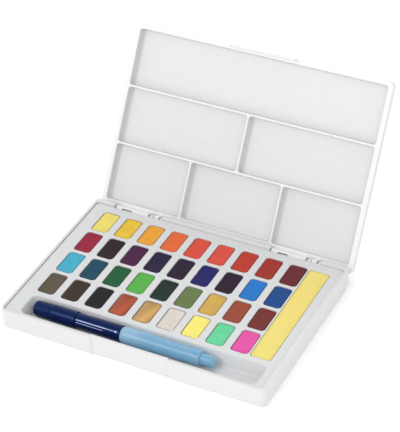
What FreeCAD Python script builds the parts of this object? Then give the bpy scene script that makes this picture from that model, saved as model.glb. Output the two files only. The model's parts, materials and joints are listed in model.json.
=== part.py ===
import FreeCAD, Part
import math
import os
import re

import Sketcher
from FreeCAD import Vector

# A flat watercolour box: a base tray with a moulded insert holding thirty-six paint cakes, a sponge and a
# water brush, and a hinged lid whose inside is the mixing palette. Millimetres, +Z up. The origin is the
# centre of the underside, +X to the painter's right and +Y to the rear, where the hinges are. The lid is
# drawn shut and then turned about the hinge axis to the open position it rests in.

SIZES = {
    # case
    "case_width": 225.0,
    "case_depth": 154.0,
    "base_height": 18.0,
    "lid_height": 8.0,
    "seam_gap": 0.3,
    "wall": 1.9,
    "side_wall": 2.3,
    "floor_thickness": 1.5,
    "ledge_width": 1.2,
    "corner_radius": 5.0,
    "edge_radius": 2.4,
    "rim_radius": 0.5,
    "rail_overhang": 4.0,
    "rail_foot": 5.0,
    "rail_slope": 5.0,
    "rail_bevel": 2.0,
    # finger recess and catch at the front
    "recess_width": 62.4,
    "recess_depth": 1.7,
    "recess_slope": 2.2,
    "tongue_thickness": 1.0,
    "tongue_reach": 4.7,
    "tongue_clearance": 0.8,
    "nub_x": 10.0,
    "nub_radius": 0.7,
    "nub_width": 2.4,
    # lid wells
    "lid_rim": 4.0,
    "lid_rear_rim": 8.0,
    "mouth_radius": 0.45,
    "lid_well_depth": 6.4,
    "rib_thickness": 1.6,
    "front_well_depth": 46.6,
    "rear_well_depth": 46.4,
    "rear_rib_x": 40.6,
    "well_corner": 2.2,
    "well_fillet": 1.2,
    # hinges
    "hinge_inset": 2.7,
    "hinge_drop": 4.9,
    "hinge_left": -94.5,
    "hinge_pitch": 140.0,
    "hinge_opening": 44.0,
    "hinge_clearance": 3.5,
    "arm_clearance": 6.5,
    "lug_foot": 2.0,
    "knuckle_radius": 2.9,
    "pin_radius": 1.0,
    "pin_play": 0.05,
    "window_width": 2.8,
    "open_angle": 123.25,
    # insert
    "deck_drop": 1.2,
    "deck_thickness": 1.2,
    "deck_gap": 0.3,
    "deck_side_gap": 0.6,
    "deck_corner": 2.8,
    "hinge_notch": 1.1,
    "insert_wall": 1.0,
    "pan_pitch_x": 20.85,
    "pan_pitch_y": 27.8,
    "pans_x": -7.5,
    "pans_y": 10.85,
    "pan_width": 14.9,
    "pan_length": 24.9,
    "pan_corner": 3.1,
    "pan_depth": 7.5,
    "pan_lip": 0.4,
    "trough_x": 2.6,
    "trough_y": -58.95,
    "trough_length": 200.4,
    "trough_width": 22.7,
    "trough_depth": 10.6,
    "trough_corner": 5.5,
    "trough_taper": 25.0,
    "trough_lip": 1.6,
    "trough_fillet": 3.0,
    # paint cakes and sponge
    "cake_gap": 0.4,
    "cake_drop": 0.5,
    "cake_edge": 0.4,
    "sponge_x": 93.4,
    "sponge_y": 10.6,
    "sponge_width": 16.4,
    "sponge_length": 106.4,
    "sponge_thickness": 8.5,
    "sponge_play": 0.4,
    "sponge_corner": 2.0,
    "sponge_edge": 0.8,
    "sponge_proud": 0.2,
    # water brush
    "brush_x": -90.5,
    "brush_y": -57.0,
    "cap_radius": 6.7,
    "cap_length": 37.0,
    "cap_bore": 5.3,
    "cap_end_wall": 3.0,
    "collar_length": 39.0,
    "collar_front_radius": 5.9,
    "collar_rear_radius": 6.45,
    "spigot_radius": 5.25,
    "spigot_length": 8.5,
    "feed_bore": 2.5,
    "neck_bore": 5.05,
    "neck_radius": 5.0,
    "neck_length": 12.0,
    "barrel_length": 66.8,
    "barrel_radius": 6.4,
    "barrel_end_radius": 6.05,
    "barrel_wall": 0.9,
    "tail_length": 12.2,
    "tail_radius": 4.5,
    "nose_length": 12.6,
    "nose_radius": 4.4,
    "nose_tip_radius": 2.3,
    "bristle_radius": 1.8,
    "bristle_belly": 2.1,
    "bristle_reach": 11.4,
    "bristle_root": 6.0,
}

# Rear row first, each row from left to right.
PAINTS = [
    ["lemon", "golden_yellow", "yellow_orange", "orange", "vermilion", "scarlet", "red", "dark_red", "maroon"],
    ["crimson", "dark_brown", "purple", "dark_violet", "deep_violet", "ultramarine", "plum", "sky_blue", "blue"],
    ["turquoise", "teal", "green", "bright_green", "dark_green", "olive", "ochre", "sienna", "red_brown"],
    ["khaki", "umber", "black", "copper", "gold", "pearl", "neon_yellow", "neon_green", "neon_pink"],
]

# Heights and places that several pieces share, as expressions on the sizes above.
LEDGE_LEVEL = "(base_height - deck_drop - deck_thickness)"
DECK_LEVEL = "(base_height - deck_drop)"
NUB_LEVEL = "(base_height - 1.8)"
FRONT_Y = "((rail_overhang - case_depth) / 2)"
REAR_Y = "((rail_overhang + case_depth) / 2)"
BODY_DEPTH = "(case_depth - rail_overhang)"
HINGE_Y = f"({REAR_Y} - hinge_inset)"
HINGE_Z = "(base_height - hinge_drop)"
BRUSH_Z = "(base_height - deck_drop - trough_depth + cap_radius)"

HINGES = ("hinge_left", "(hinge_left + hinge_pitch)")

# Along each hinge, from its left end: the base's lugs, the lid's knuckles and the long knuckle's window.
LUGS = ((-3.0, 0.0), (32.3, 35.0), (41.6, 44.0))
KNUCKLES = ((0.5, 30.0), (35.5, 39.6))
KNUCKLE_WINDOW = (6.5, 15.5)

# The arm from a knuckle up to the shut lid, from a corner at the knuckle's front and the axis's height.
ARM_Y = f"({HINGE_Y} - knuckle_radius)"
ARM_OUTLINE = (
    ("0", "0"),
    ("0", "hinge_drop + seam_gap + 0.6"),
    ("knuckle_radius + hinge_inset", "hinge_drop + seam_gap + 0.6"),
    ("knuckle_radius + hinge_inset", "0"),
)

# What is cut off under the hinge rail, from its foot on the rear wall, and along its top rear edge.
RAIL_UNDERSIDE = (
    ("0", "0"),
    ("rail_overhang + 1", "rail_slope * (1 + 1 / rail_overhang)"),
    ("rail_overhang + 1", "0"),
)
RAIL_BEVEL = (
    ("0", "rail_bevel + 2"),
    ("rail_bevel + 2", "0"),
    ("rail_bevel + 2", "rail_bevel + 2"),
)

TINY = 1e-6

doc = FreeCAD.newDocument("watercolour_box")
sheet = doc.addObject("Spreadsheet::Sheet", "sizes")
for row, (alias, number) in enumerate(SIZES.items(), start=1):
    sheet.set(f"A{row}", alias)
    sheet.set(f"B{row}", str(number))
    sheet.setAlias(f"B{row}", alias)
doc.recompute()


def on_sheet(expression):
    """The expression with the sheet's name before each alias."""
    return re.sub(r"[a-z_]+[a-z]", lambda word: f"sizes.{word[0]}" if word[0] in SIZES else word[0], expression)


def size(expression):
    """The number that an expression on the sheet's aliases gives now."""
    result = sheet.evalExpression(on_sheet(expression))
    return float(getattr(result, "Value", result))


def bind(feature, **expressions):
    """Binds properties to expressions; a double underscore in a name stands for a dot."""
    for name, expression in expressions.items():
        feature.setExpression(name.replace("__", "."), on_sheet(expression))


def new_body(label):
    body = doc.addObject("PartDesign::Body", "Body")
    body.Label = label
    return body


def new_sketch(body, role, along="0", up="0", out="0"):
    """A sketch on one of the body's origin planes, moved in the plane and out along its normal."""
    sketch = body.newObject("Sketcher::SketchObject", "Sketch")
    plane = next(plane for plane in body.Origin.OriginFeatures if plane.Role == role)
    sketch.AttachmentSupport = (plane, [""])
    sketch.MapMode = "FlatFace"
    bind(sketch, AttachmentOffset__Base__x=along, AttachmentOffset__Base__y=up, AttachmentOffset__Base__z=out)
    return sketch


def rectangle(body, width, height, corner, along="0", up="0", out="0"):
    """A horizontal sketch of a rectangle with round corners, centred on (along, up) at the height out."""
    sketch = new_sketch(body, "XY_Plane", along, up, out)
    radius = size(corner)
    inner_x = size(width) / 2 - radius
    inner_y = size(height) / 2 - radius
    quarter = math.pi / 2
    arcs = []
    for turn, (side_x, side_y) in enumerate(((1, 1), (-1, 1), (-1, -1), (1, -1))):
        circle = Part.Circle(Vector(side_x * inner_x, side_y * inner_y, 0), Vector(0, 0, 1), radius)
        arcs.append(sketch.addGeometry(Part.ArcOfCircle(circle, turn * quarter, (turn + 1) * quarter)))
    sides = []
    for turn in range(4):
        start = sketch.getPoint(arcs[turn], 2)
        end = sketch.getPoint(arcs[(turn + 1) % 4], 1)
        sides.append(sketch.addGeometry(Part.LineSegment(start, end)))
    for turn in range(4):
        following = (turn + 1) % 4
        sketch.addConstraint(Sketcher.Constraint("Tangent", arcs[turn], 2, sides[turn], 1))
        sketch.addConstraint(Sketcher.Constraint("Tangent", sides[turn], 2, arcs[following], 1))
    for turn in (1, 2, 3):
        sketch.addConstraint(Sketcher.Constraint("Equal", arcs[0], arcs[turn]))
    for turn in (0, 2):
        sketch.addConstraint(Sketcher.Constraint("Horizontal", sides[turn]))
        sketch.addConstraint(Sketcher.Constraint("Vertical", sides[turn + 1]))
    sketch.addConstraint(Sketcher.Constraint("Symmetric", arcs[0], 3, arcs[2], 3, -1, 1))
    for name, constraint, expression in (
        ("width", Sketcher.Constraint("DistanceX", sides[1], 1, sides[3], 1, size(width)), width),
        ("height", Sketcher.Constraint("DistanceY", sides[2], 1, sides[0], 1, size(height)), height),
        ("corner", Sketcher.Constraint("Radius", arcs[0], radius), corner),
    ):
        sketch.renameConstraint(sketch.addConstraint(constraint), name)
        sketch.setExpression(f"Constraints.{name}", on_sheet(expression))
    return sketch


def polygon(body, role, points, along="0", up="0", out="0"):
    """A closed outline whose corners, given as pairs of expressions, are all at or above zero."""
    sketch = new_sketch(body, role, along, up, out)
    places = [Vector(size(x), size(y), 0) for x, y in points]
    lines = []
    for start, end in zip(places, places[1:] + places[:1]):
        lines.append(sketch.addGeometry(Part.LineSegment(start, end)))
    for i, line in enumerate(lines):
        sketch.addConstraint(Sketcher.Constraint("Coincident", line, 2, lines[(i + 1) % len(lines)], 1))
    origin, across_axis, up_axis = -1, -1, -2
    for i, (line, (x, y)) in enumerate(zip(lines, points)):
        for kind, expression, zero_axis in (("DistanceX", x, up_axis), ("DistanceY", y, across_axis)):
            if expression == "0":
                sketch.addConstraint(Sketcher.Constraint("PointOnObject", line, 1, zero_axis))
                continue
            constraint = Sketcher.Constraint(kind, origin, 1, line, 1, size(expression))
            name = f"{kind}_{i}"
            sketch.renameConstraint(sketch.addConstraint(constraint), name)
            sketch.setExpression(f"Constraints.{name}", on_sheet(expression))
    return sketch


def pad(body, sketch, length):
    feature = body.newObject("PartDesign::Pad", "Pad")
    feature.Profile = sketch
    bind(feature, Length=length)
    sketch.Visibility = False
    doc.recompute()
    return feature


def pocket(body, sketch, depth, upwards=False, taper="0"):
    """Cuts down from the sketch, or up from it, and makes sure that something was cut."""
    before = body.Shape.Volume
    feature = body.newObject("PartDesign::Pocket", "Pocket")
    feature.Profile = sketch
    feature.Reversed = upwards
    bind(feature, Length=depth, TaperAngle=taper)
    doc.recompute()
    if not body.Shape.Volume < before - TINY:
        raise RuntimeError(f"{body.Label}: a pocket cut nothing")
    return feature


def turned(label, points):
    """A body turned about +X from an outline of (distance along, radius) pairs."""
    body = new_body(label)
    sketch = polygon(body, "XZ_Plane", points)
    feature = body.newObject("PartDesign::Revolution", "Revolution")
    feature.Profile = sketch
    feature.ReferenceAxis = (sketch, ["H_Axis"])
    feature.Angle = 360
    doc.recompute()
    return body


def block(body, low, high, cut=False):
    """An additive or subtractive box between two corners given as expressions."""
    kind = "PartDesign::SubtractiveBox" if cut else "PartDesign::AdditiveBox"
    feature = body.newObject(kind, "Box")
    for name, start, end in zip(("Length", "Width", "Height"), low, high):
        feature.setExpression(name, on_sheet(f"({end}) - ({start})"))
    for axis, start in zip("xyz", low):
        feature.setExpression(f"Placement.Base.{axis}", on_sheet(start))
    doc.recompute()
    return feature


def rod(body, start, y, z, length, radius, cut=False):
    """An additive or subtractive cylinder along +X."""
    kind = "PartDesign::SubtractiveCylinder" if cut else "PartDesign::AdditiveCylinder"
    feature = body.newObject(kind, "Cylinder")
    feature.Placement = FreeCAD.Placement(Vector(), FreeCAD.Rotation(Vector(0, 1, 0), 90))
    bind(feature, Radius=radius, Height=length)
    bind(feature, Placement__Base__x=start, Placement__Base__y=y, Placement__Base__z=z)
    doc.recompute()
    return feature


def for_every_pan(body, originals):
    """Repeats the features made for the front left pan at every other pan."""
    feature = body.newObject("PartDesign::LinearPattern", "LinearPattern")
    axes = {axis.Role: axis for axis in body.Origin.OriginFeatures}
    feature.Originals = originals
    feature.Direction = (axes["X_Axis"], [""])
    feature.Direction2 = (axes["Y_Axis"], [""])
    feature.Mode = "Spacing"
    feature.Mode2 = "Spacing"
    bind(feature, Offset="pan_pitch_x", Offset2="pan_pitch_y")
    feature.Occurrences = len(PAINTS[0])
    feature.Occurrences2 = len(PAINTS)
    feature.Spacings2 = [-1.0] * (len(PAINTS) - 1)  # -1 means the common spacing
    body.Tip = feature
    doc.recompute()
    return feature


def dress(body, radius, chosen):
    """Rounds the edges of the body that the test chosen picks."""
    base = body.Tip
    names = [f"Edge{i}" for i, edge in enumerate(base.Shape.Edges, start=1) if chosen(edge)]
    if not names:
        raise RuntimeError(f"{body.Label}: no edge to round")
    feature = body.newObject("PartDesign::Fillet", "Fillet")
    feature.Base = (base, names)
    bind(feature, Radius=radius)
    doc.recompute()
    return feature


def at_height(level, x_limit=1e3, y_from=-1e3, y_to=1e3):
    """Picks level edges at a height, between the limits across and from front to rear."""
    z = size(level)

    def chosen(edge):
        box = edge.BoundBox
        level_edge = abs(box.ZMin - z) < TINY and abs(box.ZMax - z) < TINY
        return level_edge and max(-box.XMin, box.XMax) < x_limit and box.YMin > y_from and box.YMax < y_to

    return chosen


def place(body, x, y, z):
    bind(body, Placement__Base__x=x, Placement__Base__y=y, Placement__Base__z=z)


def base_shell():
    """The bottom half of the case, with a ledge for the insert and a thick rear rail that holds the hinges."""
    body = new_body("base_shell")
    pad(body, rectangle(body, "case_width", BODY_DEPTH, "corner_radius"), "rail_foot")
    dress(body, "edge_radius", at_height("0"))
    railed = rectangle(body, "case_width", "case_depth", "corner_radius", up="rail_overhang / 2", out="rail_foot")
    pad(body, railed, "base_height - rail_foot")
    dress(body, "rim_radius", at_height("base_height"))
    left = "-case_width / 2 - 1"
    for outline, y, z in (
        (RAIL_UNDERSIDE, f"{BODY_DEPTH} / 2", "rail_foot"),
        (RAIL_BEVEL, f"{REAR_Y} - rail_bevel - 1", "base_height - rail_bevel - 1"),
    ):
        pocket(body, polygon(body, "YZ_Plane", outline, y, z, left), "case_width + 2", upwards=True)
    tray_width = "case_width - 2 * side_wall"
    tray_depth = f"{BODY_DEPTH} - 2 * wall"
    upper = rectangle(body, tray_width, tray_depth, "corner_radius - side_wall", out="base_height")
    pocket(body, upper, "deck_drop + deck_thickness")
    step = "2 * ledge_width"
    corner = "corner_radius - side_wall - ledge_width"
    lower = rectangle(body, f"{tray_width} - {step}", f"{tray_depth} - {step}", corner, out=LEDGE_LEVEL)
    pocket(body, lower, f"{LEDGE_LEVEL} - floor_thickness")
    recess_back = f"{FRONT_Y} + recess_depth"
    liner = (f"{recess_back} + wall", "base_height")
    block(body, ("-recess_width / 2", FRONT_Y, "0"), ("recess_width / 2", recess_back, "base_height"), True)
    block(body, ("-recess_width / 2 - wall", recess_back, LEDGE_LEVEL), ("recess_width / 2 + wall", *liner))
    for start, far_corner in (("recess_width / 2", "0"), ("-recess_width / 2 - recess_slope", "recess_slope")):
        side = polygon(
            body, "XY_Plane", (("0", "0"), ("recess_slope", "0"), (far_corner, "recess_depth")), start, FRONT_Y
        )
        pocket(body, side, "base_height", upwards=True)
    rod(body, "nub_x - nub_width / 2", f"{recess_back} + nub_radius / 2", NUB_LEVEL, "nub_width", "nub_radius")
    first, last = LUGS[0][0], LUGS[-1][1]
    inner_rear = f"{BODY_DEPTH} / 2 - wall"
    for hinge in HINGES:
        for front, foot in (
            (f"{inner_rear} - ledge_width - 1", "hinge_clearance"),
            (f"{HINGE_Y} - 2 * pin_radius", "arm_clearance"),
        ):
            corner = (f"{hinge} + hinge_opening", f"{REAR_Y} + 1", "base_height + 1")
            block(body, (hinge, front, f"{HINGE_Z} - {foot}"), corner, True)
        for start, end in LUGS:
            corner = (f"{hinge} + {end}", HINGE_Y, f"{HINGE_Z} + knuckle_radius")
            block(body, (f"{hinge} + {start}", inner_rear, f"{HINGE_Z} - knuckle_radius - lug_foot"), corner)
            rod(body, f"{hinge} + {start}", HINGE_Y, HINGE_Z, f"{end} - {start}", "knuckle_radius")
        rod(body, f"{hinge} + {first}", HINGE_Y, HINGE_Z, f"{last} - {first}", "pin_radius", cut=True)
    return body


def insert_tray():
    """The moulded insert: a deck with thirty-six pan wells, a sponge slot and a trough for the brush."""
    body = new_body("insert_tray")
    deck_width = "case_width - 2 * (side_wall + deck_side_gap)"
    deck_depth = f"{BODY_DEPTH} - 2 * (wall + deck_gap)"
    deck = rectangle(body, deck_width, deck_depth, "deck_corner", out=LEDGE_LEVEL)
    pad(body, deck, "deck_thickness")
    first_x = "pans_x - 4 * pan_pitch_x"
    first_y = "pans_y - 1.5 * pan_pitch_y"
    cup = rectangle(
        body,
        "pan_width + 2 * insert_wall",
        "pan_length + 2 * insert_wall",
        "pan_corner + insert_wall",
        first_x,
        first_y,
        f"{DECK_LEVEL} - pan_depth - insert_wall",
    )
    cup_pad = pad(body, cup, "pan_depth + insert_wall - deck_thickness / 2")
    for_every_pan(body, [cup_pad])
    slot_width = "sponge_width + 2 * sponge_play"
    slot_length = "sponge_length + 2 * sponge_play"
    slot_corner = "(sponge_corner + sponge_play)"
    slot_depth = "sponge_thickness - sponge_proud"
    for width, length, corner, x, y, depth in (
        (slot_width, slot_length, slot_corner, "sponge_x", "sponge_y", slot_depth),
        ("trough_length", "trough_width", "trough_corner", "trough_x", "trough_y", "trough_depth"),
    ):
        box = rectangle(
            body,
            f"{width} + 2 * insert_wall",
            f"{length} + 2 * insert_wall",
            f"{corner} + insert_wall",
            x,
            y,
            f"{DECK_LEVEL} - ({depth}) - insert_wall",
        )
        pad(body, box, f"{depth} + insert_wall - deck_thickness / 2")
    window = rectangle(body, "pan_width", "pan_length", "pan_corner", first_x, first_y, DECK_LEVEL)
    well = pocket(body, window, "pan_depth")
    for_every_pan(body, [well])
    slot = rectangle(body, slot_width, slot_length, slot_corner, "sponge_x", "sponge_y", DECK_LEVEL)
    pocket(body, slot, slot_depth)
    trough = rectangle(body, "trough_length", "trough_width", "trough_corner", "trough_x", "trough_y", DECK_LEVEL)
    pocket(body, trough, "trough_depth", taper="-trough_taper")
    dress(body, "trough_fillet", at_height(f"{DECK_LEVEL} - trough_depth"))
    trough_rear = size("trough_y + trough_width / 2") + 1
    inside = size(deck_width) / 2 - 1
    deck_front = -size(deck_depth) / 2 + 1
    dress(body, "trough_lip", at_height(DECK_LEVEL, inside, deck_front, trough_rear))
    dress(body, "pan_lip", at_height(DECK_LEVEL, inside, trough_rear, size(deck_depth) / 2 - 1))
    notch_back = f"{FRONT_Y} + recess_depth + wall + deck_gap"
    notch_reach = "recess_width / 2 + wall + 2.5 * deck_gap"
    block(
        body,
        (f"-({notch_reach})", FRONT_Y, f"{LEDGE_LEVEL} - 1"),
        (notch_reach, notch_back, "base_height"),
        True,
    )
    deck_rear = f"({deck_depth}) / 2"
    for hinge in HINGES:
        low = (f"{hinge} + {KNUCKLES[0][0]}", f"{deck_rear} - hinge_notch", f"{LEDGE_LEVEL} - 1")
        block(body, low, (f"{hinge} + {KNUCKLES[0][1]}", f"{deck_rear} + 1", "base_height"), True)
    return body


def lid_shell():
    """The lid and mixing palette: six wells, a catch tongue at the front and two knuckles to each hinge."""
    body = new_body("lid_shell")
    seam = "base_height + seam_gap"
    outline = rectangle(body, "case_width", "case_depth", "corner_radius", up="rail_overhang / 2", out=seam)
    pad(body, outline, "lid_height")
    dress(body, "edge_radius", at_height(f"{seam} + lid_height"))
    dress(body, "rim_radius", at_height(seam))
    inner_width = "(case_width - 2 * lid_rim)"
    inner_front = f"({FRONT_Y} + lid_rim)"
    inner_rear = f"({REAR_Y} - lid_rear_rim)"
    inner_depth = "(case_depth - lid_rim - lid_rear_rim)"
    middle_depth = f"({inner_depth} - front_well_depth - rear_well_depth - 2 * rib_thickness)"
    front_row = (f"{inner_front} + front_well_depth / 2", "front_well_depth")
    middle_row = (f"{inner_front} + front_well_depth + rib_thickness + {middle_depth} / 2", middle_depth)
    rear_row = (f"{inner_rear} - rear_well_depth / 2", "rear_well_depth")
    half_width = f"({inner_width} - rib_thickness) / 2"
    side_width = f"({inner_width} / 2 - rear_rib_x - rib_thickness / 2)"
    side_x = f"({inner_width} - {side_width}) / 2"
    wells = (
        ("0", inner_width, front_row),
        (f"-({half_width} + rib_thickness) / 2", half_width, middle_row),
        (f"({half_width} + rib_thickness) / 2", half_width, middle_row),
        (f"-({side_x})", side_width, rear_row),
        ("0", "2 * rear_rib_x - rib_thickness", rear_row),
        (side_x, side_width, rear_row),
    )
    for x, width, (y, depth) in wells:
        pocket(body, rectangle(body, width, depth, "well_corner", x, y, seam), "lid_well_depth", upwards=True)
    dress(body, "well_fillet", at_height(f"{seam} + lid_well_depth"))
    inside = size(inner_width) / 2 + 1
    dress(body, "mouth_radius", at_height(seam, inside, size(inner_front) - 1, size(inner_rear) + 1))
    tongue = "recess_width / 2 - tongue_clearance"
    block(
        body,
        (f"-({tongue})", FRONT_Y, f"{seam} - tongue_reach"),
        (tongue, f"{FRONT_Y} + tongue_thickness", f"{seam} + 1"),
    )
    first, last = KNUCKLES[0][0], KNUCKLES[-1][1]
    window_start, window_end = KNUCKLE_WINDOW
    for hinge in HINGES:
        for start, end in KNUCKLES:
            rod(body, f"{hinge} + {start}", HINGE_Y, HINGE_Z, f"{end} - {start}", "knuckle_radius")
            arm = polygon(body, "YZ_Plane", ARM_OUTLINE, ARM_Y, HINGE_Z, f"{hinge} + {start}")
            pad(body, arm, f"{end} - {start}")
        block(
            body,
            (f"{hinge} + {window_start}", f"{HINGE_Y} - window_width / 2", f"{HINGE_Z} - knuckle_radius - 1"),
            (f"{hinge} + {window_end}", f"{HINGE_Y} + window_width / 2", f"{HINGE_Z} + pin_radius / 2"),
            True,
        )
        bore = "pin_radius + pin_play"
        rod(body, f"{hinge} + {first}", HINGE_Y, HINGE_Z, f"{last} - {first}", bore, cut=True)
    turn = "rotation(vector(1; 0; 0); -open_angle)"
    centre = f"vector(0; {HINGE_Y}; {HINGE_Z})"
    bind(body, Placement=f"placement(vector(0; 0; 0); {turn}; {centre})")
    return body


def hinge_pin(label, hinge):
    pin = doc.addObject("Part::Cylinder", "Pin")
    pin.Label = label
    pin.Placement = FreeCAD.Placement(Vector(), FreeCAD.Rotation(Vector(0, 1, 0), 90))
    first, last = LUGS[0][0], LUGS[-1][1]
    bind(pin, Radius="pin_radius", Height=f"{last} - {first}")
    place(pin, f"{hinge} + {first}", HINGE_Y, HINGE_Z)
    return pin


def paint_cake(label, column, row):
    """One cake of paint, cast a little short of its well all round and rounded along its top edge."""
    body = new_body(label)
    gap = "2 * cake_gap"
    outline = rectangle(body, f"pan_width - {gap}", f"pan_length - {gap}", "pan_corner - cake_gap")
    pad(body, outline, "pan_depth - cake_drop")
    dress(body, "cake_edge", at_height("pan_depth - cake_drop"))
    place(
        body,
        f"pans_x + {column - 4} * pan_pitch_x",
        f"pans_y + {1.5 - row} * pan_pitch_y",
        f"{DECK_LEVEL} - pan_depth",
    )
    return body


def sponge():
    body = new_body("sponge")
    pad(body, rectangle(body, "sponge_width", "sponge_length", "sponge_corner"), "sponge_thickness")
    dress(body, "sponge_edge", at_height("sponge_thickness"))
    place(body, "sponge_x", "sponge_y", f"{DECK_LEVEL} + sponge_proud - sponge_thickness")
    return body


def water_brush():
    """The six pieces of the water brush, each turned about the brush's own axis."""
    cap = turned(
        "brush_cap",
        [
            ("0", "0"),
            ("0", "cap_radius - 1.6"),
            ("1.6", "cap_radius - 0.3"),
            ("cap_length / 2", "cap_radius"),
            ("cap_length", "cap_radius"),
            ("cap_length", "cap_bore"),
            ("cap_end_wall", "cap_bore"),
            ("cap_end_wall", "0"),
        ],
    )
    collar = turned(
        "brush_collar",
        [
            ("0", "feed_bore"),
            ("0", "spigot_radius"),
            ("spigot_length", "spigot_radius"),
            ("spigot_length", "collar_front_radius"),
            ("spigot_length + collar_length", "collar_rear_radius"),
            ("spigot_length + collar_length", "neck_bore"),
            ("spigot_length + collar_length - neck_length - 0.3", "neck_bore"),
            ("spigot_length + collar_length - neck_length - 0.3", "feed_bore"),
        ],
    )
    nose = turned(
        "brush_nose",
        [
            ("0", "bristle_radius"),
            ("0", "nose_tip_radius"),
            ("nose_length - 3.5", "nose_radius - 0.2"),
            ("nose_length", "nose_radius"),
            ("nose_length", "feed_bore"),
            ("nose_length + 6", "feed_bore"),
            ("nose_length + 6", "1"),
            ("bristle_root", "1"),
            ("bristle_root", "bristle_radius"),
        ],
    )
    bristles = turned(
        "brush_bristles",
        [
            ("0", "0"),
            ("0", "0.15"),
            ("bristle_reach * 0.4", "bristle_belly * 0.75"),
            ("bristle_reach * 0.75", "bristle_belly"),
            ("bristle_reach", "bristle_radius"),
            ("bristle_reach + bristle_root", "bristle_radius"),
            ("bristle_reach + bristle_root", "0"),
        ],
    )
    feed = turned(
        "brush_feed_plug",
        [("0", "0.6"), ("0", "feed_bore"), ("12", "feed_bore"), ("12", "0.6")],
    )
    barrel = turned(
        "brush_barrel",
        [
            ("0", "neck_radius - barrel_wall"),
            ("0", "neck_radius"),
            ("neck_length", "neck_radius"),
            ("neck_length", "barrel_radius"),
            ("neck_length + barrel_length", "barrel_end_radius"),
            ("neck_length + barrel_length", "tail_radius"),
            ("neck_length + barrel_length + tail_length - 2.6", "tail_radius"),
            ("neck_length + barrel_length + tail_length - 0.8", "tail_radius * 0.72"),
            ("neck_length + barrel_length + tail_length", "0"),
            ("neck_length + barrel_length + tail_length - barrel_wall * 1.5", "0"),
            ("neck_length + barrel_length + tail_length - 3", "tail_radius - barrel_wall"),
            ("neck_length + barrel_length - barrel_wall", "tail_radius - barrel_wall"),
            ("neck_length + barrel_length - barrel_wall * 2", "barrel_end_radius - barrel_wall"),
            ("neck_length + barrel_wall", "barrel_radius - barrel_wall"),
            ("neck_length", "neck_radius - barrel_wall"),
        ],
    )
    collar_start = "brush_x + cap_length - spigot_length"
    starts = (
        (cap, "brush_x"),
        (collar, collar_start),
        (nose, f"{collar_start} - nose_length"),
        (bristles, f"{collar_start} - nose_length - bristle_reach"),
        (feed, f"{collar_start} + 12"),
        (barrel, f"{collar_start} + spigot_length + collar_length - neck_length"),
    )
    for piece, start in starts:
        place(piece, start, "brush_y", BRUSH_Z)
    return [piece for piece, start in starts]


def check_all(parts):
    doc.recompute()
    for thing in doc.Objects:
        if "Invalid" in thing.State or "Error" in thing.State:
            raise RuntimeError(f"{thing.Label} ({thing.Name}) failed: {thing.State}")
    for part in parts:
        if part.Shape.isNull() or not part.Shape.isValid() or not part.Shape.Solids:
            raise RuntimeError(f"{part.Label}: no valid solid")


def write_all(parts):
    os.makedirs("parts", exist_ok=True)
    for part in parts:
        part.Shape.exportStep(f"parts/{part.Label}.step")
        print(part.Label, len(part.Shape.Solids), round(part.Shape.Volume, 1))


parts = [base_shell(), insert_tray(), lid_shell()]
parts.append(hinge_pin("hinge_pin_left", HINGES[0]))
parts.append(hinge_pin("hinge_pin_right", HINGES[1]))
parts.append(sponge())
parts.extend(water_brush())
for row, colours in enumerate(PAINTS):
    for column, colour in enumerate(colours):
        parts.append(paint_cake(f"paint_{row + 1}_{column + 1}_{colour}", column, row))
check_all(parts)
write_all(parts)
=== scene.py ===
import json
import math
import random

import bpy
from bpy.props import FloatProperty, FloatVectorProperty, IntProperty, PointerProperty
from mathutils import Matrix, Quaternion, Vector


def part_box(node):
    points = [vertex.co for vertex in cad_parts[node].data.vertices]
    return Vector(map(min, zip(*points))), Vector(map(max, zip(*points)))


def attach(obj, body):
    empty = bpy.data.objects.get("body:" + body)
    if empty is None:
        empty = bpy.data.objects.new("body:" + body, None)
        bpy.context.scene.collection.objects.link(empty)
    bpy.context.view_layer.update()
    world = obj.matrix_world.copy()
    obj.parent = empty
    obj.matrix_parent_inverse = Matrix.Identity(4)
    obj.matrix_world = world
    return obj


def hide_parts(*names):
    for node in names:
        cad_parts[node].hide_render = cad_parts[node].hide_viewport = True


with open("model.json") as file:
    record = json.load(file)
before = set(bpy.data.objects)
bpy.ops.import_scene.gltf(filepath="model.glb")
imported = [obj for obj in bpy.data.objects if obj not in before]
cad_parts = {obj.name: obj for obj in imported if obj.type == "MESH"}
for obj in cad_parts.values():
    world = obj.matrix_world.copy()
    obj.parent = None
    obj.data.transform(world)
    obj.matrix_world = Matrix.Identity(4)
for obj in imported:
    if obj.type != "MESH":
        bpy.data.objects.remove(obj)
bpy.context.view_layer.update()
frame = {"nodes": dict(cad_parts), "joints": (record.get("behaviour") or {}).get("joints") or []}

bl_info = {
    "name": "Watercolor pan set",
    "version": (1, 0, 0),
    "blender": (4, 5, 0),
    "location": "View3D > Sidebar > Paint box",
    "description": "Paint cakes, sponge, water brush and moulded plastic for a flat watercolor box",
    "category": "Object",
}

MM = 0.001

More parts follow.
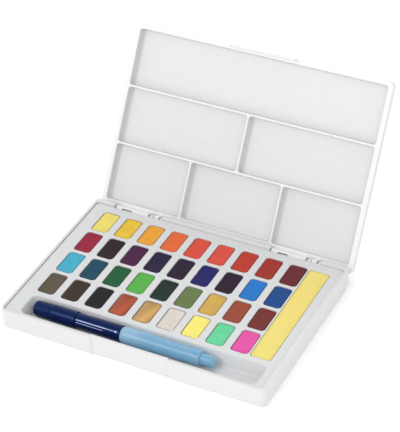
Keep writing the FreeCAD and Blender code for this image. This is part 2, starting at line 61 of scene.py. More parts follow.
# The paints, rear row first and each row from the left, as 8-bit sRGB colours.
PAINTS = (
    {
        "lemon": (229, 212, 104),
        "golden_yellow": (224, 186, 56),
        "yellow_orange": (228, 157, 49),
        "orange": (221, 101, 49),
        "vermilion": (213, 74, 55),
        "scarlet": (212, 76, 60),
        "red": (185, 53, 39),
        "dark_red": (157, 45, 32),
        "maroon": (102, 32, 40),
    },
    {
        "crimson": (145, 16, 50),
        "dark_brown": (33, 6, 10),
        "purple": (66, 6, 60),
        "dark_violet": (27, 9, 52),
        "deep_violet": (29, 5, 39),
        "ultramarine": (17, 13, 94),
        "plum": (30, 5, 36),
        "sky_blue": (23, 115, 195),
        "blue": (5, 68, 132),
    },
    {
        "turquoise": (62, 166, 194),
        "teal": (5, 64, 88),
        "green": (5, 84, 44),
        "bright_green": (82, 170, 67),
        "dark_green": (5, 35, 26),
        "olive": (97, 118, 67),
        "ochre": (201, 164, 76),
        "sienna": (149, 66, 45),
        "red_brown": (112, 38, 36),
    },
    {
        "khaki": (85, 77, 59),
        "umber": (50, 37, 23),
        "black": (5, 5, 13),
        "copper": (125, 48, 12),
        "gold": (147, 113, 61),
        "pearl": (210, 204, 194),
        "neon_yellow": (240, 227, 115),
        "neon_green": (98, 204, 149),
        "neon_pink": (223, 79, 162),
    },
)
METALLIC = ("copper", "gold")

# The lid as it rests open: its hinge line, its turn from shut, and how far the plane on which it closes
# lies from that line. The painted shade of the mixing wells stays within WELL_REACH of that plane.
LID_HINGE = next(joint for joint in frame["joints"] if joint["name"] == "lid_hinge")
HINGE_Y, HINGE_Z = LID_HINGE["pos_m"][1:]
LID_TURN = math.radians(-LID_HINGE["range_deg"][0])
MATING_PLANE = 5.2 * MM
WELL_REACH = 8 * MM

# A dark line of painted shade round a cake, standing in for the shadow in the gap against the well.
PAINTED_EDGE_SHADE = 0.9 * MM

# Softboxes of the studio: name, place and side in metres.
SOFTBOXES = (
    ("key", (-0.9, -1.7, 1.8), 1.1),
    ("side", (0.5, -0.6, 0.28), 0.35),
    ("fill", (-0.3, 1.1, 1.2), 0.8),
)
FLOOR_HALF = 6.0
FLOOR_DROP = 0.0002
CAMERA_TARGET = Vector((-0.03531, 0.1089, 0.0))


def linear(red, green, blue):
    """A linear colour from 8-bit sRGB."""
    def decode(value):
        share = value / 255
        return share / 12.92 if share <= 0.04045 else ((share + 0.055) / 1.055) ** 2.4
    return decode(red), decode(green), decode(blue)


def cake_name(row, column, paint):
    """The CAD node of a cake, counted from the rear left."""
    return f"paint_{row + 1}_{column + 1}_{paint}"


# ---------------------------------------------------------------------------------------------- sizes


def length(name, description, millimetres):
    """A length that a user can change, given in millimetres."""
    return FloatProperty(
        name=name, description=description, default=millimetres * MM, unit="LENGTH", precision=5
    )


def colour(name, description, *srgb):
    """A colour that a user can change, given as 8-bit sRGB."""
    return FloatVectorProperty(
        name=name, description=description, default=linear(*srgb), subtype="COLOR", min=0, max=1
    )


def camera_angle(name, description, degrees):
    """An angle that a user can change, given in degrees."""
    return FloatProperty(name=name, description=description, default=math.radians(degrees), subtype="ANGLE")


def light_power(name, description, watts):
    """A light's power that a user can change."""
    return FloatProperty(name=name, description=description, default=watts, unit="POWER")


class PaintBoxCase(bpy.types.PropertyGroup):
    case_colour: colour("Case colour", "White of the base", 214, 214, 215)
    # Painted light on the lid: its rims and ribs take a lighter white as a painted highlight, its mixing
    # wells a greyer one as painted shade.
    rim_highlight_colour: colour("Rim colour", "White of the lid's rims and ribs", 230, 230, 230)
    well_shade_colour: colour("Well colour", "Smooth mixing wells of the lid", 216, 217, 218)
    insert_colour: colour("Insert colour", "White of the moulded insert", 208, 209, 210)
    grain: length("Grain", "Size of the moulded texture", 0.35)
    steel_colour: colour("Pin colour", "Steel of the hinge pins", 176, 178, 182)


class PaintBoxCakes(bpy.types.PropertyGroup):
    corner: length("Corner", "Radius of a cake's corners seen from above", 2.8)
    edge: length("Edge", "Rounding of a cake's top edge", 0.36)
    rim: length("Rim", "Height of the rim that dried up against the well", 0.32)
    rim_width: length("Rim width", "How far in the rim reaches", 1.5)
    ripple: length("Ripple", "Height of the soft unevenness on top", 0.1)


PaintBoxCakes.__annotations__.update(
    {
        name: colour(name.replace("_", " ").capitalize(), "Colour of this cake", *srgb)
        for row in PAINTS
        for name, srgb in row.items()
    }
)


class PaintBoxSponge(bpy.types.PropertyGroup):
    foam_colour: colour("Foam colour", "Yellow of the sponge", 240, 222, 128)
    corner: length("Corner", "Radius of the corners seen from above", 2.0)
    edge: length("Edge", "Rounding of the top edge", 0.8)
    pore: length("Pore", "Size of the open cells", 0.9)
    pore_depth: length("Pore depth", "Depth of the open cells", 0.16)


class PaintBoxBrush(bpy.types.PropertyGroup):
    navy: colour("Navy", "Cap and collar", 3, 20, 68)
    print_colour: colour("Print", "Plain printed bars on the collar", 176, 184, 226)
    barrel_colour: colour("Barrel", "Water reservoir", 114, 163, 192)
    nose_colour: colour("Nose", "Bristle holder", 226, 230, 234)
    bristle_colour: colour("Bristles", "Nylon filaments", 236, 232, 220)
    felt_colour: colour("Feed", "Porous feed plug", 224, 224, 218)
    flutes: IntProperty(
        name="Flutes", description="Grooves round the cap's closed end", default=20, min=6, max=40
    )
    flute_depth: length("Flute depth", "Depth of the grooves", 0.6)
    flute_length: length("Flute length", "Length of the grooves", 15.0)
    filaments: IntProperty(name="Filaments", description="Bristles in the tuft", default=190, min=20, max=400)
    filament_width: length("Filament width", "Thickness of a bristle", 0.17)


class PaintBoxStage(bpy.types.PropertyGroup):
    azimuth: camera_angle("Azimuth", "Camera's turn to the right of the front", 29.68)
    elevation: camera_angle("Elevation", "Camera's height above level", 37.83)
    roll: camera_angle("Roll", "Camera's turn about its own line of sight", -3.86)
    distance: length("Distance", "From the camera to its target", 1525.28)
    lens: FloatProperty(name="Lens", description="Focal length in millimetres", default=154.8)
    floor_colour: colour("Floor colour", "Pale studio floor", 252, 252, 252)
    floor_glow: FloatProperty(
        name="Floor glow", description="Strength of the light that the floor itself gives", default=0.16
    )
    key_power: light_power("Key light", "Softbox above the front left", 17.5)
    side_power: light_power("Side light", "Low softbox at the front right", 0.7)
    fill_power: light_power("Fill light", "Softbox above the rear", 3.4)
    sky: FloatProperty(name="Sky", description="Strength of the white surroundings", default=0.86)


# ------------------------------------------------------------------------------------------- materials


class Value:
    """A number on a shader socket; arithmetic on it adds Math nodes."""

    def __init__(self, shader, socket):
        self.shader = shader
        self.socket = socket

    def math(self, operation, *numbers):
        inputs = dict(enumerate(numbers))
        return self.shader.node("ShaderNodeMath", {"operation": operation}, inputs)

    def __add__(self, other):
        return self.math("ADD", self, other)

    def __sub__(self, other):
        return self.math("SUBTRACT", self, other)

    def __mul__(self, other):
        return self.math("MULTIPLY", self, other)

    def __truediv__(self, other):
        return self.math("DIVIDE", self, other)

    def __rsub__(self, other):
        return self.math("SUBTRACT", other, self)

    def off(self, centre):
        """How far the number is from a centre, either way."""
        return self.math("ABSOLUTE", self - centre)


class Shader:
    """A material whose Principled BSDF takes constants at once and varying inputs from nodes."""

    def __init__(self, name, **constants):
        self.material = bpy.data.materials.new(name)
        self.material.use_nodes = True
        self.tree = self.material.node_tree
        self.surface = self.tree.nodes["Principled BSDF"]
        for socket, value in constants.items():
            self.set(socket, value)
        self.place = self.node("ShaderNodeTexCoord", output="Object")

    def set(self, socket, value):
        """Sets or links an input of the Principled BSDF, named with underscores for spaces."""
        self._feed(self.surface.inputs[socket.replace("_", " ")], value)

    def _feed(self, socket, value):
        if isinstance(value, Value):
            self.tree.links.new(value.socket, socket)
        elif socket.type == "RGBA":
            socket.default_value = (*value, 1.0)
        else:
            socket.default_value = value

    def node(self, kind, settings=None, inputs=None, output=0):
        """Adds a node with its settings first, then its inputs, and gives one of its outputs."""
        node = self.tree.nodes.new(kind)
        for name, value in (settings or {}).items():
            if name == "stops":
                for position, shade in value[2:]:
                    node.color_ramp.elements.new(position)
                for stop, (position, shade) in zip(node.color_ramp.elements, value):
                    stop.position = position
                    stop.color = (shade, shade, shade, 1.0)
            else:
                setattr(node, name, value)
        for name, value in (inputs or {}).items():
            self._feed(node.inputs[name], value)
        return Value(self, node.outputs[output])

    def noise(self, feature, detail=3.0, roughness=0.5, stretch=(1, 1, 1)):
        """Noise from 0 to 1 whose blobs are about the given size in metres."""
        where = self.node("ShaderNodeMapping", {}, {"Vector": self.place, "Scale": stretch})
        inputs = {"Vector": where, "Scale": 1 / feature, "Detail": detail, "Roughness": roughness}
        return self.node("ShaderNodeTexNoise", {}, inputs)

    def cells(self, feature, output="Distance"):
        """Voronoi cells of about the given size in metres."""
        return self.node("ShaderNodeTexVoronoi", {}, {"Vector": self.place, "Scale": 1 / feature}, output)

    def along(self, axis):
        """The coordinate in metres along X, Y or Z."""
        return self.node("ShaderNodeSeparateXYZ", {}, {"Vector": self.place}, axis)

    def steps(self, value, *stops):
        """Passes a value through a ramp of (position, shade) stops."""
        return self.node("ShaderNodeValToRGB", {"stops": stops}, {"Fac": value})

    def spread(self, value, low, high):
        """Maps 0..1 to low..high."""
        return value * (high - low) + low

    def margin(self, low, high, width):
        """1 along the sides of the box from low to high, falling to 0 a width further in."""
        middle = (low + high) / 2
        half = (high - low) / 2
        inset_x = half.x - self.along("X").off(middle.x)
        inset_y = half.y - self.along("Y").off(middle.y)
        inset = inset_x.math("SMOOTH_MIN", inset_x, inset_y, width)
        return self.steps(inset / width, (0.0, 1.0), (1.0, 0.0))

    def mix(self, factor, first, second):
        """Blends two colours."""
        settings = {"data_type": "RGBA"}
        return self.node("ShaderNodeMix", settings, {0: factor, 6: first, 7: second}, 2)

    def bump(self, height, distance):
        """Raises the surface by a height from 0 to 1 times a distance in metres."""
        inputs = {"Height": height, "Distance": distance, "Strength": 1.0}
        self.set("Normal", self.node("ShaderNodeBump", {}, inputs))


def tinted(rgb, factor):
    """The colour made darker or brighter by a factor, within white."""
    return tuple(min(1.0, part * factor) for part in rgb)


def moulded_plastic(name, rgb, grain, roughness):
    """Injection-moulded white plastic: a fine spark-eroded grain, faint flow marks and handled patches."""
    shader = Shader(name, Specular_IOR_Level=0.45, Subsurface_Weight=0.08, Subsurface_Scale=0.002)
    handled = shader.noise(22 * MM, 4.0, 0.6)
    flow = shader.noise(60 * MM, 2.0, 0.4, (1.0, 0.35, 1.0))
    shader.set("Base_Color", shader.mix(flow, tinted(rgb, 0.985), tinted(rgb, 1.01)))
    shader.set("Roughness", shader.spread(handled, roughness - 0.05, roughness + 0.06))
    shader.bump(shader.noise(grain, 2.0, 0.6), 0.0025 * MM)
    return shader.material


def palette_plastic(name, rgb, well_shade_rgb, grain, roughness):
    """The case's plastic, painted lighter on the rims and ribs as a painted highlight and greyer in the
    smooth mixing wells as painted shade. The depth is measured from the mating plane of the lid as it rests
    open."""
    shader = Shader(name, Specular_IOR_Level=0.45, Subsurface_Weight=0.08, Subsurface_Scale=0.002)
    rearward = (shader.along("Y") - HINGE_Y) * math.sin(LID_TURN)
    upward = (shader.along("Z") - HINGE_Z) * math.cos(LID_TURN)
    depth = (rearward + upward - MATING_PLANE) / WELL_REACH
    # Painted shade and highlight: below the rims the wells take the greyer well colour, the rims and ribs the
    # lighter one.
    well = shader.steps(depth, (0.02, 0.0), (0.16, 1.0), (0.82, 1.0), (0.9, 0.0))
    handled = shader.noise(26 * MM, 4.0, 0.6)
    flow = shader.noise(60 * MM, 2.0, 0.4, (1.0, 0.35, 1.0))
    rim = shader.mix(flow, tinted(rgb, 0.99), tinted(rgb, 1.01))
    shader.set("Base_Color", shader.mix(well, rim, shader.mix(flow, tinted(well_shade_rgb, 0.985), well_shade_rgb)))
    shader.set("Roughness", shader.spread(handled, roughness - 0.04, roughness + 0.06))
    shader.bump(shader.noise(grain, 2.0, 0.6), 0.002 * MM)
    return shader.material


def brushed_steel(name, rgb):
    """Drawn wire: fine scratches along the length."""
    shader = Shader(name, Metallic=1.0)
    scratches = shader.noise(0.12 * MM, 3.0, 0.6, (0.04, 1.0, 1.0))
    shader.set("Base_Color", shader.mix(scratches, tinted(rgb, 0.82), rgb))
    shader.set("Roughness", shader.spread(scratches, 0.22, 0.42))
    shader.bump(scratches, 0.004 * MM)
    return shader.material


def dried_paint(name, rgb, low, high):
    """A poured cake of watercolour: pigment clouds, granulation, drying streaks, a satin skin and a
    darker line of painted shade along its edge, standing in for the shadow in the gap against the well's
    wall."""
    shader = Shader(name, Specular_IOR_Level=0.25)
    clouds = shader.noise(7 * MM, 4.0, 0.62)
    grains = shader.noise(0.35 * MM, 3.0, 0.7)
    streaks = shader.noise(1.1 * MM, 3.0, 0.6, (1.0, 0.12, 1.0))
    tone = shader.steps(clouds * 0.6 + streaks * 0.25 + grains * 0.15, (0.3, 0.0), (0.7, 1.0))
    body = shader.mix(tone, tinted(rgb, 0.86), tinted(rgb, 1.1))
    # Painted shade: along the cake's edge its colour is darkened to half for the shadow in the gap round it.
    shader.set("Base_Color", shader.mix(shader.margin(low, high, PAINTED_EDGE_SHADE), body, tinted(rgb, 0.5)))
    shader.set("Roughness", shader.spread(clouds, 0.42, 0.62) + grains * 0.08)
    shader.bump(grains * 0.3 + streaks * 0.7 + clouds, 0.07 * MM)
    return shader.material


def metallic_paint(name, rgb, low, high):
    """A cake of mica paint: bright flakes in a binder, with a painted highlight in its colour towards the
    front right and a line of painted shade along its edge.
    """
    shader = Shader(name, Specular_IOR_Level=0.6)
    clouds = shader.noise(8 * MM, 3.0, 0.55)
    flakes = shader.cells(0.16 * MM, "Color")
    sparkle = shader.steps(flakes, (0.25, 0.0), (0.9, 1.0))
    # Painted highlight: towards the front right the colour is brightened up to 2.4 times in its own hue.
    right = (shader.along("X") - low.x) / (high.x - low.x)
    front = (high.y - shader.along("Y")) / (high.y - low.y)
    painted_highlight = shader.steps(right * 0.6 + front * 0.4, (0.38, 0.0), (0.66, 1.0), (0.86, 0.35))
    flecks = shader.mix(sparkle, tinted(rgb, 0.85), tinted(rgb, 1.1))
    painted_highlight_colour = shader.mix(painted_highlight, tinted(rgb, 1.4), tinted(rgb, 2.4))
    blend = shader.mix(0.75, flecks, painted_highlight_colour)
    # Painted shade: along the cake's edge its colour is darkened to half for the shadow in the gap round it.
    shader.set("Base_Color", shader.mix(shader.margin(low, high, PAINTED_EDGE_SHADE), blend, tinted(rgb, 0.5)))
    shader.set("Metallic", shader.spread(sparkle, 0.3, 0.5))
    shader.set("Roughness", shader.spread(clouds, 0.3, 0.42))
    shader.bump(sparkle * 0.25 + clouds, 0.05 * MM)
    return shader.material


def foam(name, rgb, pore):
    """Open-cell foam: soft, matt and pitted, with painted shade darkening the inside of the pores."""
    shader = Shader(
        name, Roughness=0.95, Specular_IOR_Level=0.15, Subsurface_Weight=0.25, Subsurface_Scale=0.002
    )
    pits = shader.steps(shader.cells(pore * 0.55), (0.05, 0.0), (0.5, 1.0))
    speckle = shader.noise(0.3 * MM, 3.0, 0.7)
    stain = shader.noise(18 * MM, 3.0, 0.5)
    # Painted shade: inside the pores the yellow is darkened, with random speckle mixed in.
    tone = shader.node("ShaderNodeMath", {"operation": "MULTIPLY_ADD"}, {0: pits, 1: 0.5, 2: speckle * 0.5})
    body = shader.mix(stain, tinted(rgb, 0.97), tinted(rgb, 1.02))
    shader.set("Base_Color", shader.mix(tone, tinted(rgb, 0.88), body))
    shader.bump(pits + speckle * 0.6, 0.12 * MM)
    return shader.material


def glossy_navy(name, rgb):
    """Polished navy plastic with faint handling scratches."""
    shader = Shader(name, Specular_IOR_Level=0.34, Specular_Tint=(0.3, 0.5, 1.0))
    clouds = shader.noise(12 * MM, 3.0, 0.5)
    scratches = shader.noise(0.25 * MM, 2.0, 0.6, (0.08, 1.0, 1.0))
    shader.set("Base_Color", shader.mix(clouds, tinted(rgb, 0.9), tinted(rgb, 1.12)))
    shader.set("Roughness", shader.spread(scratches, 0.14, 0.24))
    shader.bump(clouds + scratches * 0.05, 0.015 * MM)
    return shader.material


def barrel_plastic(name, rgb, low, high):
    """Soft translucent polyethylene, painted paler at the shoulder by the collar and at the tail end as a
    painted highlight. A little emission stands in for light that passes through."""
    shader = Shader(
        name,
        Emission_Color=rgb,
        Emission_Strength=0.14,
        Transmission_Weight=0.05,
        Subsurface_Weight=1.0,
        Subsurface_Scale=0.01,
        Specular_IOR_Level=0.45,
        IOR=1.45,
    )
    share = (shader.along("X") - low) / (high - low)
    # Painted highlight: a pale blue is mixed in at the shoulder next to the collar and at the tail end.
    painted_light = shader.steps(share, (0.0, 1.0), (0.16, 0.55), (0.3, 0.0), (0.92, 0.0), (1.0, 0.35))
    haze = shader.noise(9 * MM, 4.0, 0.6)
    body = shader.mix(haze, tinted(rgb, 0.9), tinted(rgb, 1.06))
    shader.set("Base_Color", shader.mix(painted_light * 0.22, body, (0.62, 0.82, 0.93)))
    shader.set("Roughness", shader.spread(haze, 0.18, 0.32))
    shader.bump(haze + shader.noise(0.8 * MM, 2.0, 0.5) * 0.05, 0.03 * MM)
    return shader.material


def plain_ink(name, rgb):
    """Screen-printed ink with tiny pinholes."""
    shader = Shader(name, Specular_IOR_Level=0.4)
    holes = shader.steps(shader.noise(0.14 * MM, 2.0, 0.6), (0.32, 0.0), (0.42, 1.0))
    shader.set("Base_Color", shader.mix(holes, tinted(rgb, 0.72), rgb))
    shader.set("Roughness", shader.spread(holes, 0.6, 0.45))
    return shader.material


def clear_plastic(name, rgb):
    """Hazy clear plastic."""
    shader = Shader(name, Transmission_Weight=0.5, IOR=1.49, Specular_IOR_Level=0.5)
    haze = shader.noise(3 * MM, 3.0, 0.5)
    shader.set("Base_Color", shader.mix(haze, tinted(rgb, 0.94), rgb))
    shader.set("Roughness", shader.spread(haze, 0.16, 0.28))
    return shader.material


def nylon(name, rgb):
    """Bristle nylon, faintly mottled along the filaments."""
    shader = Shader(name, Specular_IOR_Level=0.5, Subsurface_Weight=0.2, Subsurface_Scale=0.001)
    mottle = shader.noise(0.6 * MM, 2.0, 0.5, (0.1, 1.0, 1.0))
    shader.set("Base_Color", shader.mix(mottle, tinted(rgb, 0.8), rgb))
    shader.set("Roughness", shader.spread(mottle, 0.28, 0.45))
    return shader.material


def felt(name, rgb):
    """Pressed fibre."""
    shader = Shader(name, Roughness=0.95, Sheen_Weight=0.3)
    fibres = shader.noise(0.2 * MM, 4.0, 0.7, (1.0, 0.3, 1.0))
    shader.set("Base_Color", shader.mix(fibres, tinted(rgb, 0.8), rgb))
    shader.bump(fibres, 0.1 * MM)
    return shader.material


# --------------------------------------------------------------------------------------- mesh and stacks


def new_piece(name, vertices, edges, faces):
    """A mesh object in the scene."""
    mesh = bpy.data.meshes.new(name)
    mesh.from_pydata(vertices, edges, faces)
    mesh.validate()
    piece = bpy.data.objects.new(name, mesh)
    bpy.context.scene.collection.objects.link(piece)
    return piece


def stack(piece, name, kind, **settings):
    """Adds a modifier to the piece's stack."""
    modifier = piece.modifiers.new(name, kind)
    for setting, value in settings.items():
        setattr(modifier, setting, value)


def subdivide(piece, levels):
    """Smooths a cage."""
    stack(piece, "Smooth", "SUBSURF", levels=levels, render_levels=levels)
    piece.data.polygons.foreach_set("use_smooth", [True] * len(piece.data.polygons))


def displace(piece, name, kind, feature, strength, **settings):
    """Moves the surface along its normals by a procedural texture of the given feature size."""
    texture = bpy.data.textures.new(f"{piece.name}_{name}", kind)
    texture.noise_scale = feature
    for setting, value in settings.items():
        setattr(texture, setting, value)
    stack(piece, name, "DISPLACE", texture=texture, texture_coords="LOCAL", strength=strength, mid_level=0.5)


def apply_stack(piece, place):
    """Makes the stack's result the piece's own mesh and carries it to its place."""
    shown = piece.evaluated_get(bpy.context.evaluated_depsgraph_get())
    mesh = bpy.data.meshes.new_from_object(shown)
    piece.modifiers.clear()
    old = piece.data
    piece.data = mesh
    mesh.name = piece.name
    bpy.data.meshes.remove(old)
    mesh.transform(place)


def hand_over(piece, material, body, slot, *nodes):
    """Gives a finished piece its material and the body that it rides on, and hides the CAD nodes that it
    stands for.
    """
    piece.data.materials.clear()
    piece.data.materials.append(material)
    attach(piece, body)
    if nodes:
        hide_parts(*nodes)


def corner_stops(half, corner, insets):
    """Grid lines from -half to half: some just inside each end, the corner's start and the middle."""
    outer = [half - inset for inset in insets]
    positive = outer + [half - corner * 0.55, half - corner]
    return [-x for x in positive] + [0.0] + positive[::-1]


def round_corner(x, y, half_x, half_y, corner):
    """Carries a point of a square-cornered rectangle to one with round corners."""
    inner_x = half_x - corner
    inner_y = half_y - corner
    a = (abs(x) - inner_x) / corner
    b = (abs(y) - inner_y) / corner
    if a <= 0 or b <= 0:
        return x, y
    along_x = inner_x + corner * a * math.sqrt(1 - b * b / 2)
    along_y = inner_y + corner * b * math.sqrt(1 - a * a / 2)
    return math.copysign(along_x, x), math.copysign(along_y, y)


def slab_cage(name, low, high, corner, insets, top_height, skirt, rows_between=0):
    """A closed slab between two corners of a box. Its top has grid lines at the insets from the edge and
    the height that top_height gives for a distance from the edge; skirt lists drops below the top for the
    side."""
    centre = (low + high) / 2
    half = (high - low) / 2
    columns = corner_stops(half.x, corner, insets)
    rows = corner_stops(half.y, corner, insets)
    middle = rows.index(0.0)
    reach = rows[middle + 1]
    spaced = [reach * share / (rows_between + 1) for share in range(1, rows_between + 1)]
    rows[middle:middle + 1] = [-y for y in spaced[::-1]] + [0.0] + spaced
    wide, tall = len(columns), len(rows)
    vertices = []

    def lay(level):
        for y in rows:
            for x in columns:
                rounded = round_corner(x, y, half.x, half.y, corner)
                edge = min(half.x - abs(x), half.y - abs(y))
                vertices.append((centre.x + rounded[0], centre.y + rounded[1], level(edge, x, y)))

    lay(lambda edge, x, y: high.z + top_height(edge, x, y))
    lay(lambda edge, x, y: low.z)
    count = wide * tall
    faces = []
    for row in range(tall - 1):
        for column in range(wide - 1):
            start = row * wide + column
            quad = (start, start + 1, start + wide + 1, start + wide)
            faces.append(quad)
            faces.append(tuple(count + index for index in reversed(quad)))
    border = list(range(wide))
    border += [row * wide + wide - 1 for row in range(1, tall)]
    border += [(tall - 1) * wide + column for column in range(wide - 2, -1, -1)]
    border += [row * wide for row in range(tall - 2, 0, -1)]
    loops = [border]
    for drop in skirt:
        loops.append(list(range(len(vertices), len(vertices) + len(border))))
        vertices.extend((vertices[i][0], vertices[i][1], high.z - drop) for i in border)
    loops.append([count + index for index in border])
    for upper, lower in zip(loops, loops[1:]):
        for i in range(len(border)):
            following = (i + 1) % len(border)
            faces.append((upper[following], upper[i], lower[i], lower[following]))
    return new_piece(name, vertices, [], faces)


def along_brush(start):
    """The place of a turned piece whose outline begins at start and runs to +X along the brush's axis."""
    low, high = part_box("brush_cap")
    middle = (low + high) / 2
    return Matrix.Translation((start, middle.y, middle.z)) @ Matrix.Rotation(math.radians(-90), 4, "Y")


def turned(name, profile, start, steps=96):
    """A piece turned from a closed profile of (along, radius, rounding) points in millimetres, the outside
    first and from the near end to the far one."""
    count = len(profile)
    vertices = [(radius * MM, 0, -along * MM) for along, radius, rounding in profile]
    piece = new_piece(name, vertices, [(i, (i + 1) % count) for i in range(count)], [])
    widest = max(rounding for along, radius, rounding in profile)
    weights = piece.data.attributes.new("bevel_weight_vert", "FLOAT", "POINT")
    weights.data.foreach_set("value", [rounding / widest for along, radius, rounding in profile])
    rounding = {"affect": "VERTICES", "limit_method": "WEIGHT", "width": widest * MM, "segments": 5}
    stack(piece, "Round", "BEVEL", **rounding)
    stack(
        piece,
        "Turn",
        "SCREW",
        axis="Z",
        steps=steps,
        render_steps=steps,
        use_merge_vertices=True,
        merge_threshold=0.001 * MM,
        use_smooth_shade=True,
    )
    apply_stack(piece, along_brush(start))
    piece.data.set_sharp_from_angle(angle=math.radians(40))
    stack(piece, "Flat faces", "WEIGHTED_NORMAL", keep_sharp=True, weight=80)
    return piece


def fluted(name, stations, grooves, start):
    """A round piece with grooves along it, from stations of (along, ridge radius, groove radius) in
    millimetres that begin and end on the axis."""
    around = 2 * grooves
    vertices = []
    rings = []
    for along, ridge, groove in stations:
        if ridge == 0:
            rings.append([len(vertices)] * around)
            vertices.append((0, 0, -along * MM))
            continue
        rings.append(list(range(len(vertices), len(vertices) + around)))
        for step in range(around):
            radius = (groove if step % 2 else ridge) * MM
            angle = math.tau * step / around
            vertices.append((radius * math.cos(angle), radius * math.sin(angle), -along * MM))
    faces = []
    for upper, lower in zip(rings, rings[1:]):
        for step in range(around):
            following = (step + 1) % around
            corners = (upper[step], lower[step], lower[following], upper[following])
            faces.append(tuple(dict.fromkeys(corners)))
    piece = new_piece(name, vertices, [], faces)
    piece.data.transform(along_brush(start))
    subdivide(piece, 2)
    return piece


# --------------------------------------------------------------------------------------------- operators


class BuildCase(bpy.types.Operator):
    """Give the base, the insert, the lid and the hinge pins their moulded plastic and steel"""

    bl_idname = "paintbox.case"
    bl_label = "Case"

    def execute(self, context):
        look = context.scene.paint_box_case
        case = moulded_plastic("case_plastic", look.case_colour, look.grain, 0.36)
        insert = moulded_plastic("insert_plastic", look.insert_colour, look.grain * 0.8, 0.42)
        palette = palette_plastic(
            "palette_plastic", look.rim_highlight_colour, look.well_shade_colour, look.grain * 1.6, 0.28
        )
        steel = brushed_steel("pin_steel", look.steel_colour)
        for node, material in (
            ("base_shell", case),
            ("insert_tray", insert),
            ("lid_shell", palette),
            ("hinge_pin_left", steel),
            ("hinge_pin_right", steel),
        ):
            mesh = frame["nodes"][node].data
            mesh.materials.clear()
            mesh.materials.append(material)
        return {"FINISHED"}


class BuildCakes(bpy.types.Operator):
    """Pour the thirty-six cakes of paint, each dished in the middle with a rim dried up the well's wall"""

    bl_idname = "paintbox.cakes"
    bl_label = "Paint cakes"

    def execute(self, context):
        look = context.scene.paint_box_cakes
        for row, colours in enumerate(PAINTS):
            for column, name in enumerate(colours):
                self.pour(look, name, cake_name(row, column, name))
        return {"FINISHED"}

    def pour(self, look, name, node):
        low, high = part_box(node)
        chance = random.Random(node)
        sag = chance.uniform(0.1, 0.3) * MM
        tilt = chance.uniform(-0.008, 0.008)
        middle = (high.x - low.x) / 2

        def top(edge, x, y):
            rim = look.rim * math.exp(-(((edge - look.edge * 1.6) / look.rim_width) ** 2))
            dish = sag * (edge / middle) ** 0.7 if edge > 0 else 0.0
            rounding = -look.edge * 0.45 if edge <= 0 else 0.0
            return rim - dish - look.rim + tilt * x + rounding

        insets = (0.0, look.edge, look.edge * 2.2)
        skirt = (look.rim + look.edge * 1.2, look.rim + look.edge * 2.4)
        cake = slab_cage(f"cake_{name}", low, high, look.corner, insets, top, skirt, 1)
        subdivide(cake, 2)
        displace(cake, "Ripple", "CLOUDS", 3.5 * MM, look.ripple, noise_depth=2)
        surface = metallic_paint if name in METALLIC else dried_paint
        material = surface(f"{name}_paint", getattr(look, name), low, high)
        hand_over(cake, material, "base", f"paint_{name}", node)


class BuildSponge(bpy.types.Operator):
    """Cut the strip of open-cell foam that lies in its slot"""

    bl_idname = "paintbox.sponge"
    bl_label = "Sponge"

    def execute(self, context):
        look = context.scene.paint_box_sponge
        low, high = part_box("sponge")
        swell = 0.35 * MM

        def top(edge, x, y):
            return -look.edge * 0.5 if edge <= 0 else -swell + swell * min(1.0, edge / (4 * MM))

        insets = (0.0, look.edge, look.edge * 2.4)
        skirt = (look.edge, look.edge * 2.5)
        strip = slab_cage("sponge_strip", low, high, look.corner, insets, top, skirt, 8)
        subdivide(strip, 4)
        displace(strip, "Pores", "VORONOI", look.pore, -look.pore_depth)
        displace(strip, "Lumps", "CLOUDS", 6 * MM, 0.12 * MM, noise_depth=2)
        hand_over(strip, foam("yellow_foam", look.foam_colour, look.pore), "sponge", "sponge_foam", "sponge")
        return {"FINISHED"}


class BuildCap(bpy.types.Operator):
    """Mould the brush cap, fluted round its closed end"""

    bl_idname = "paintbox.brush_cap"
    bl_label = "Brush cap"

    def execute(self, context):
        look = context.scene.paint_box_brush
        low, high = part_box("brush_cap")
        reach = (high.x - low.x) / MM
        radius = (high.y - low.y) / 2 / MM
        bore = radius - 1.4
        depth = look.flute_depth / MM
        fade = look.flute_length / MM
        slim = radius - 0.28
        outside = [
            (0.0, 0.0, 0.0),
            (0.0, slim - 2.4, slim - 2.4),
            (0.05, slim - 1.7, slim - 1.7),
            (0.5, slim - 0.75, slim - 0.9),
            (1.5, slim, slim - depth),
            (2.2, slim, slim - depth),
            (fade - 1.0, radius - 0.1, radius - 0.1 - depth),
            (fade - 0.3, radius - 0.08, radius - 0.08 - depth * 0.8),
            (fade + 0.3, radius - 0.05, radius - 0.05),
            (fade + 1.2, radius, radius),
            (reach - 2.0, radius, radius),
            (reach - 0.45, radius, radius),
            (reach - 0.1, radius - 0.12, radius - 0.12),
            (reach, radius - 0.45, radius - 0.45),
            (reach, bore + 0.35, bore + 0.35),
            (reach - 0.1, bore + 0.1, bore + 0.1),
            (reach - 0.4, bore, bore),
            (4.5, bore, bore),
            (3.3, bore - 0.2, bore - 0.2),
            (3.0, bore - 1.0, bore - 1.0),
            (3.0, 0.0, 0.0),
        ]
        cap = fluted("fluted_cap", outside, look.flutes, low.x)
        hand_over(cap, glossy_navy("cap_navy", look.navy), "brush_cap", "brush_navy", "brush_cap")
        return {"FINISHED"}


